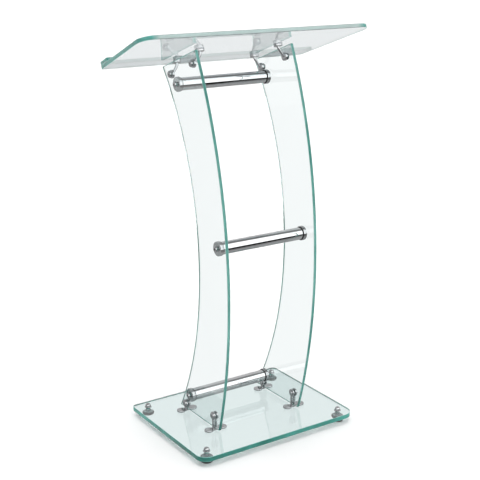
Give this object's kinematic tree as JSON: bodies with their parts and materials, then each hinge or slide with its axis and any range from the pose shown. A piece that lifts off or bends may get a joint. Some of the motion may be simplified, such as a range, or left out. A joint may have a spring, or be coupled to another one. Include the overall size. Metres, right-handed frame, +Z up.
{
  "type": "presentation lectern",
  "caption": "Standing glass lectern: bowed side panels on a rounded base, chromed crossbars and brackets, and a sloping reading plate with a book ledge.",
  "frame": {"origin": "on the floor under the middle of the base", "axes": "+Z up, X along the long side of the base, -Y towards the audience, +Y towards the speaker"},
  "size_m": [0.7758, 0.438, 1.2414],
  "materials": {
    "glass_base": "clear float glass with a green tint and polished edges",
    "glass_plate": "clear float glass with a green tint and polished edges",
    "glass_panel": "clear float glass with a green tint and polished edges",
    "chrome_tube": "polished",
    "chrome_fittings": "polished",
    "steel_stud": "zinc-bright steel",
    "black_rubber": "smooth black"
  },
  "bodies": {
    "lectern": {"base_plate": "glass_base", "reading_plate": "glass_plate", "book_ledge": "glass_plate", "top_crossbar_tube": "chrome_tube", "waist_crossbar_tube": "chrome_tube", "bottom_crossbar_tube": "chrome_tube", "left_side_panel": "glass_panel", "top_left_end_cap": "chrome_fittings", "top_left_seal_ring": "black_rubber", "top_left_cap_screw": "chrome_fittings", "waist_left_end_cap": "chrome_fittings", "waist_left_seal_ring": "black_rubber", "waist_left_cap_screw": "chrome_fittings", "bottom_left_end_cap": "chrome_fittings", "bottom_left_seal_ring": "black_rubber", "bottom_left_cap_screw": "chrome_fittings", "base_front_left_bracket": "chrome_fittings", "base_front_left_bolt": "chrome_fittings", "base_rear_left_bracket": "chrome_fittings", "base_rear_left_bolt": "chrome_fittings", "top_front_left_bracket": "chrome_fittings", "top_front_left_bolt": "chrome_fittings", "top_rear_left_bracket": "chrome_fittings", "top_rear_left_bolt": "chrome_fittings", "front_left_cap_nut": "chrome_fittings", "rear_left_cap_nut": "chrome_fittings", "right_side_panel": "glass_panel", "top_right_end_cap": "chrome_fittings", "top_right_seal_ring": "black_rubber", "top_right_cap_screw": "chrome_fittings", "waist_right_end_cap": "chrome_fittings", "waist_right_seal_ring": "black_rubber", "waist_right_cap_screw": "chrome_fittings", "bottom_right_end_cap": "chrome_fittings", "bottom_right_seal_ring": "black_rubber", "bottom_right_cap_screw": "chrome_fittings", "base_front_right_bracket": "chrome_fittings", "base_front_right_bolt": "chrome_fittings", "base_rear_right_bracket": "chrome_fittings", "base_rear_right_bolt": "chrome_fittings", "top_front_right_bracket": "chrome_fittings", "top_front_right_bolt": "chrome_fittings", "top_rear_right_bracket": "chrome_fittings", "top_rear_right_bolt": "chrome_fittings", "front_right_cap_nut": "chrome_fittings", "rear_right_cap_nut": "chrome_fittings"},
    "front_left_pad": {"front_left_foot_pad": "black_rubber"},
    "front_left_stud": {"front_left_foot_stud": "steel_stud"},
    "front_right_pad": {"front_right_foot_pad": "black_rubber"},
    "front_right_stud": {"front_right_foot_stud": "steel_stud"},
    "rear_left_pad": {"rear_left_foot_pad": "black_rubber"},
    "rear_left_stud": {"rear_left_foot_stud": "steel_stud"},
    "rear_right_pad": {"rear_right_foot_pad": "black_rubber"},
    "rear_right_stud": {"rear_right_foot_stud": "steel_stud"}
  },
  "joints": [
    {"name": "front_left_foot_travel", "type": "slide", "parent": "lectern", "child": "front_left_pad", "axis": [0, 0, -1], "range_m": [0, 0.006]},
    {"name": "front_left_stud_turn", "type": "hinge", "parent": "front_left_pad", "child": "front_left_stud", "pos_m": [-0.246, -0.18, 0.02], "axis": [0, 0, -1], "range_deg": [0, 1728]},
    {"name": "front_right_foot_travel", "type": "slide", "parent": "lectern", "child": "front_right_pad", "axis": [0, 0, -1], "range_m": [0, 0.006]},
    {"name": "front_right_stud_turn", "type": "hinge", "parent": "front_right_pad", "child": "front_right_stud", "pos_m": [0.246, -0.18, 0.02], "axis": [0, 0, -1], "range_deg": [0, 1728]},
    {"name": "rear_left_foot_travel", "type": "slide", "parent": "lectern", "child": "rear_left_pad", "axis": [0, 0, -1], "range_m": [0, 0.006]},
    {"name": "rear_left_stud_turn", "type": "hinge", "parent": "rear_left_pad", "child": "rear_left_stud", "pos_m": [-0.246, 0.18, 0.02], "axis": [0, 0, -1], "range_deg": [0, 1728]},
    {"name": "rear_right_foot_travel", "type": "slide", "parent": "lectern", "child": "rear_right_pad", "axis": [0, 0, -1], "range_m": [0, 0.006]},
    {"name": "rear_right_stud_turn", "type": "hinge", "parent": "rear_right_pad", "child": "rear_right_stud", "pos_m": [0.246, 0.18, 0.02], "axis": [0, 0, -1], "range_deg": [0, 1728]}
  ],
  "couplings": [
    {"joint": "front_left_stud_turn", "follows": "front_left_foot_travel", "rad_per_m": 5026.5},
    {"joint": "front_right_stud_turn", "follows": "front_right_foot_travel", "rad_per_m": 5026.5},
    {"joint": "rear_left_stud_turn", "follows": "rear_left_foot_travel", "rad_per_m": 5026.5},
    {"joint": "rear_right_stud_turn", "follows": "rear_right_foot_travel", "rad_per_m": 5026.5}
  ]
}
